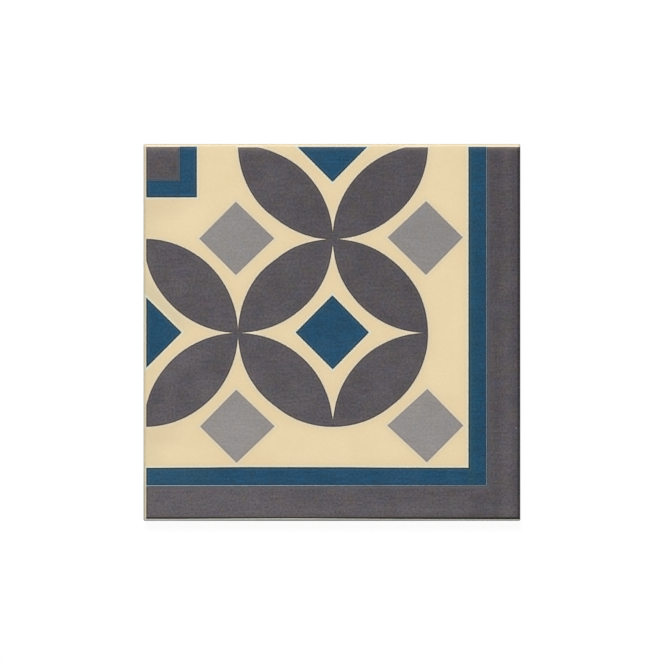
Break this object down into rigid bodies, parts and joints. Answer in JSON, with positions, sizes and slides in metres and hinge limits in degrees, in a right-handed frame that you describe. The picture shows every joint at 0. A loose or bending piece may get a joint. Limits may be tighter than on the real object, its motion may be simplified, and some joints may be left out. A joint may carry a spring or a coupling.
{
  "type": "corner tile",
  "caption": "Square printed ceramic tile for the corner of a bordered floor: petal and diamond field, striped border on two adjoining edges, keyed back.",
  "frame": {"origin": "centre of the tile on the plane of its back ribs", "axes": "+Z out of the printed face, +X to the right and +Y up as the face is read with its outer border corner at the lower right"},
  "size_m": [0.151, 0.151, 0.007],
  "materials": {
    "glazed_face": "satin cream glaze with a charcoal, blue and grey print, bare biscuit at the edges and back"
  },
  "bodies": {
    "root": {"corner_tile": "glazed_face"}
  },
  "joints": []
}
